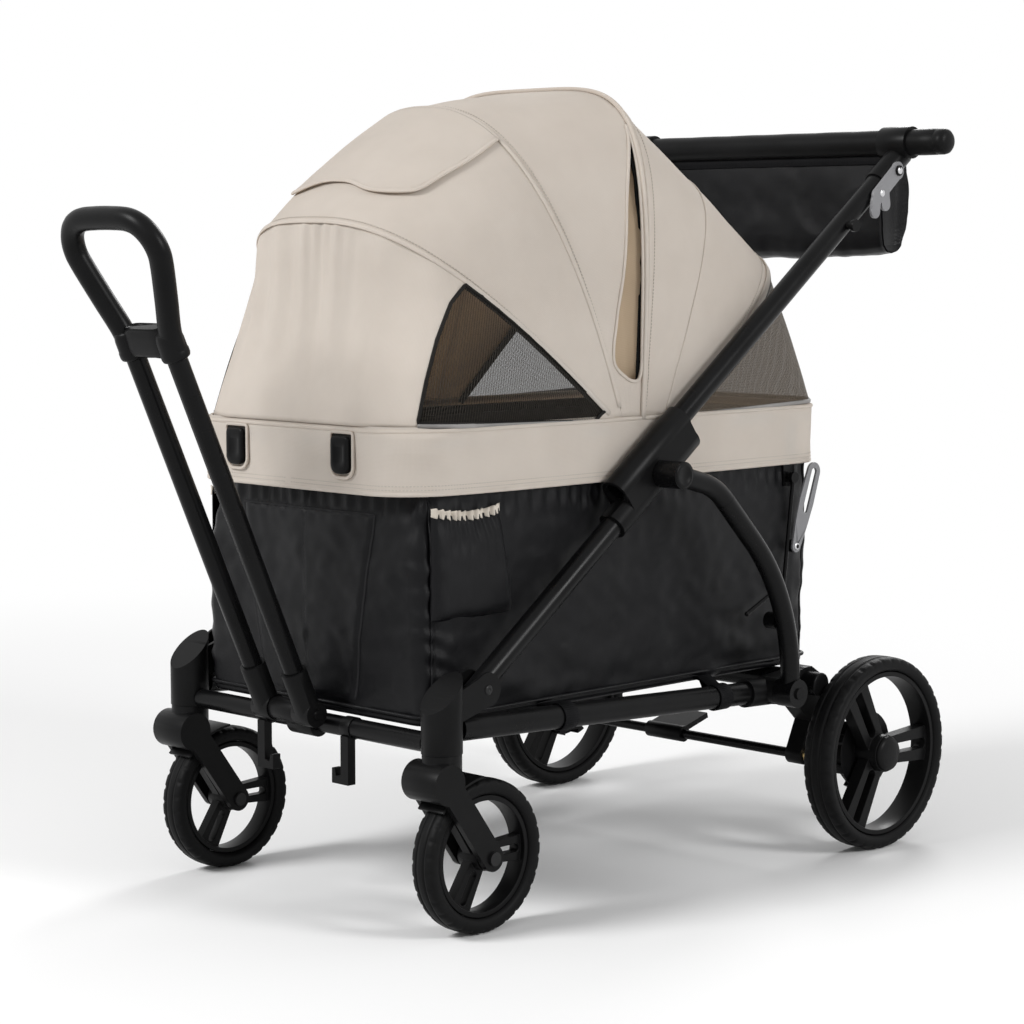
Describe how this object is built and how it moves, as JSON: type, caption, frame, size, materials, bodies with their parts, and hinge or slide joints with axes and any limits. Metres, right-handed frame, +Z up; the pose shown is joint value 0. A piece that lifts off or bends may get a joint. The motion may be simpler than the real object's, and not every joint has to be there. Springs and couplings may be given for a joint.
{
  "type": "stroller wagon",
  "caption": "Folding stroller wagon: a fabric tub under a peaked hood on a tube frame, with swivel castors in front, large wheels behind, a pull handle and a push bar.",
  "frame": {"origin": "centre of the bounding box's base, on the floor between the wheels", "axes": "+X to the wagon's left, -Y to the front where the pull handle is, +Z up"},
  "size_m": [0.6968, 1.3191, 1.0853],
  "materials": {
    "tube_black": "satin powder coat",
    "plastic_black": "satin",
    "tyre_black": "matte foam rubber",
    "steel": "zinc plated",
    "grey_plate": "satin grey",
    "cloth_black": "coated woven",
    "cloth_cream": "woven",
    "net_brown": "open net",
    "grip_black": "leatherette"
  },
  "bodies": {
    "chassis": {"hub_left": "plastic_black", "hub_right": "plastic_black", "front_cross_tube": "tube_black", "side_tubes": "tube_black", "rear_brackets": "plastic_black", "rear_cross_tube": "tube_black", "rear_axles": "steel", "tub_floor": "cloth_black", "tub_front_wall": "cloth_black", "tub_rear_wall": "cloth_black", "tub_left_wall": "cloth_black", "tub_right_wall": "cloth_black", "side_pockets": "cloth_black", "seat_pads": "cloth_black", "back_pads": "cloth_black", "webbing_loops": "cloth_black", "handle_yoke": "plastic_black", "cargo_hooks": "plastic_black"},
    "castor_left": {"fork_left": "plastic_black", "front_axle_left": "steel"},
    "castor_right": {"fork_right": "plastic_black", "front_axle_right": "steel"},
    "front_wheel_left": {"front_tyre_left": "tyre_black", "front_rim_left": "plastic_black"},
    "front_wheel_right": {"front_tyre_right": "tyre_black", "front_rim_right": "plastic_black"},
    "rear_wheel_left": {"rear_tyre_left": "tyre_black", "rear_rim_left": "plastic_black"},
    "rear_wheel_right": {"rear_tyre_right": "tyre_black", "rear_rim_right": "plastic_black"},
    "brake": {"brake_bar": "tube_black", "brake_pedal": "plastic_black"},
    "pull_handle": {"pull_grip": "plastic_black", "pull_tubes": "tube_black", "pull_sockets": "plastic_black"},
    "fold_arms": {"diagonals": "tube_black"},
    "push_frame": {"sleeves": "plastic_black", "push_tubes": "tube_black", "push_joints": "plastic_black", "push_bar": "grip_black", "striker_posts": "plastic_black", "organizer": "cloth_black"},
    "lever_left_body": {"lever_left": "grey_plate"},
    "lever_right_body": {"lever_right": "grey_plate"},
    "leg_pair": {"rear_legs": "tube_black"},
    "rim": {"rim_frame": "tube_black", "skirt": "cloth_cream", "ridge_bow": "tube_black"},
    "stay_pair": {"stays": "tube_black"},
    "latch_left_body": {"latch_left": "grey_plate"},
    "latch_right_body": {"latch_right": "grey_plate"},
    "mid_hood": {"mid_bow": "tube_black", "mid_panel": "cloth_cream"},
    "front_hood": {"front_bow": "tube_black", "front_top_panel": "cloth_cream"},
    "front_face": {"front_face_panel": "cloth_cream"},
    "rear_hood": {"rear_bow": "tube_black", "rear_panel": "cloth_cream"},
    "rear_tail": {"rear_mesh": "net_brown"}
  },
  "joints": [
    {"name": "frame_fold", "type": "hinge", "parent": "chassis", "child": "fold_arms", "pos_m": [0, -0.26409, 0.315], "axis": [-1, 0, 0], "range_deg": [0, 33.7]},
    {"name": "push_slide", "type": "slide", "parent": "fold_arms", "child": "push_frame", "axis": [0, 0.8007, 0.599], "range_m": [-0.2376, 0]},
    {"name": "leg_swing", "type": "hinge", "parent": "chassis", "child": "leg_pair", "pos_m": [0, 0.30591, 0.245], "axis": [1, 0, 0], "range_deg": [0, 40.5]},
    {"name": "rim_drop", "type": "slide", "parent": "chassis", "child": "rim", "axis": [0, 0, 1], "range_m": [-0.2001, 0], "deforming": ["tub_front_wall", "tub_rear_wall", "tub_left_wall", "tub_right_wall", "side_pockets", "back_pads"]},
    {"name": "stay_swing", "type": "hinge", "parent": "rim", "child": "stay_pair", "pos_m": [0, 0.38891, 0.54], "axis": [-1, 0, 0], "range_deg": [0, 75.2]},
    {"name": "latch_left_turn", "type": "hinge", "parent": "stay_pair", "child": "latch_left_body", "pos_m": [0.2407, 0.38891, 0.441], "axis": [1, 0, 0], "range_deg": [0, 12]},
    {"name": "latch_right_turn", "type": "hinge", "parent": "stay_pair", "child": "latch_right_body", "pos_m": [-0.2407, 0.38891, 0.441], "axis": [1, 0, 0], "range_deg": [0, 12]},
    {"name": "castor_left_swivel", "type": "hinge", "parent": "chassis", "child": "castor_left", "pos_m": [0.254, -0.32609, 0.24], "axis": [0, 0, 1], "continuous": true},
    {"name": "castor_right_swivel", "type": "hinge", "parent": "chassis", "child": "castor_right", "pos_m": [-0.254, -0.32609, 0.24], "axis": [0, 0, 1], "continuous": true},
    {"name": "front_wheel_left_spin", "type": "hinge", "parent": "castor_left", "child": "front_wheel_left", "pos_m": [0.254, -0.26509, 0.1], "axis": [1, 0, 0], "continuous": true},
    {"name": "front_wheel_right_spin", "type": "hinge", "parent": "castor_right", "child": "front_wheel_right", "pos_m": [-0.254, -0.26509, 0.1], "axis": [1, 0, 0], "continuous": true},
    {"name": "rear_wheel_left_spin", "type": "hinge", "parent": "chassis", "child": "rear_wheel_left", "pos_m": [0.321, 0.47591, 0.14], "axis": [1, 0, 0], "continuous": true},
    {"name": "rear_wheel_right_spin", "type": "hinge", "parent": "chassis", "child": "rear_wheel_right", "pos_m": [-0.321, 0.47591, 0.14], "axis": [1, 0, 0], "continuous": true},
    {"name": "brake_press", "type": "hinge", "parent": "chassis", "child": "brake", "pos_m": [0, 0.38391, 0.14], "axis": [-1, 0, 0], "range_deg": [0, 34]},
    {"name": "pull_swing", "type": "hinge", "parent": "chassis", "child": "pull_handle", "pos_m": [0, -0.36209, 0.268], "axis": [1, 0, 0], "range_deg": [-12, 48]},
    {"name": "lever_left_pull", "type": "hinge", "parent": "push_frame", "child": "lever_left_body", "pos_m": [0.2739, 0.57333, 0.98018], "axis": [-1, 0, 0], "range_deg": [0, 14], "stiffness_Nm_per_rad": 0.3, "springref_deg": -8.59},
    {"name": "lever_right_pull", "type": "hinge", "parent": "push_frame", "child": "lever_right_body", "pos_m": [-0.2739, 0.57333, 0.98018], "axis": [-1, 0, 0], "range_deg": [0, 14], "stiffness_Nm_per_rad": 0.3, "springref_deg": -8.59},
    {"name": "hood_mid_fold", "type": "hinge", "parent": "rim", "child": "mid_hood", "pos_m": [0, 0.02791, 0.6394], "axis": [-1, 0, 0], "range_deg": [0, 16], "deforming": ["mid_panel"]},
    {"name": "hood_front_fold", "type": "hinge", "parent": "mid_hood", "child": "front_hood", "pos_m": [0, 0.02791, 0.6394], "axis": [-1, 0, 0], "range_deg": [0, 24], "deforming": ["front_top_panel"]},
    {"name": "hood_face_fold", "type": "hinge", "parent": "front_hood", "child": "front_face", "pos_m": [0, 0.02791, 0.6394], "axis": [-1, 0, 0], "range_deg": [0, 27.2], "deforming": ["front_face_panel"]},
    {"name": "hood_rear_fold", "type": "hinge", "parent": "rim", "child": "rear_hood", "pos_m": [0, 0.16391, 0.6394], "axis": [1, 0, 0], "range_deg": [0, 42], "deforming": ["rear_panel"]},
    {"name": "hood_tail_fold", "type": "hinge", "parent": "rear_hood", "child": "rear_tail", "pos_m": [0, 0.16391, 0.6394], "axis": [1, 0, 0], "range_deg": [0, 31.5], "deforming": ["rear_mesh"]}
  ],
  "couplings": [
    {"joint": "push_slide", "follows": "frame_fold", "m_per_rad": -0.40362},
    {"joint": "leg_swing", "follows": "frame_fold", "ratio": 1.2},
    {"joint": "rim_drop", "follows": "frame_fold", "m_per_rad": -0.34003},
    {"joint": "stay_swing", "follows": "frame_fold", "ratio": 2.2255},
    {"joint": "hood_front_fold", "follows": "hood_mid_fold", "ratio": 1.5},
    {"joint": "hood_face_fold", "follows": "hood_mid_fold", "ratio": 1.7},
    {"joint": "hood_tail_fold", "follows": "hood_rear_fold", "ratio": 0.75}
  ]
}
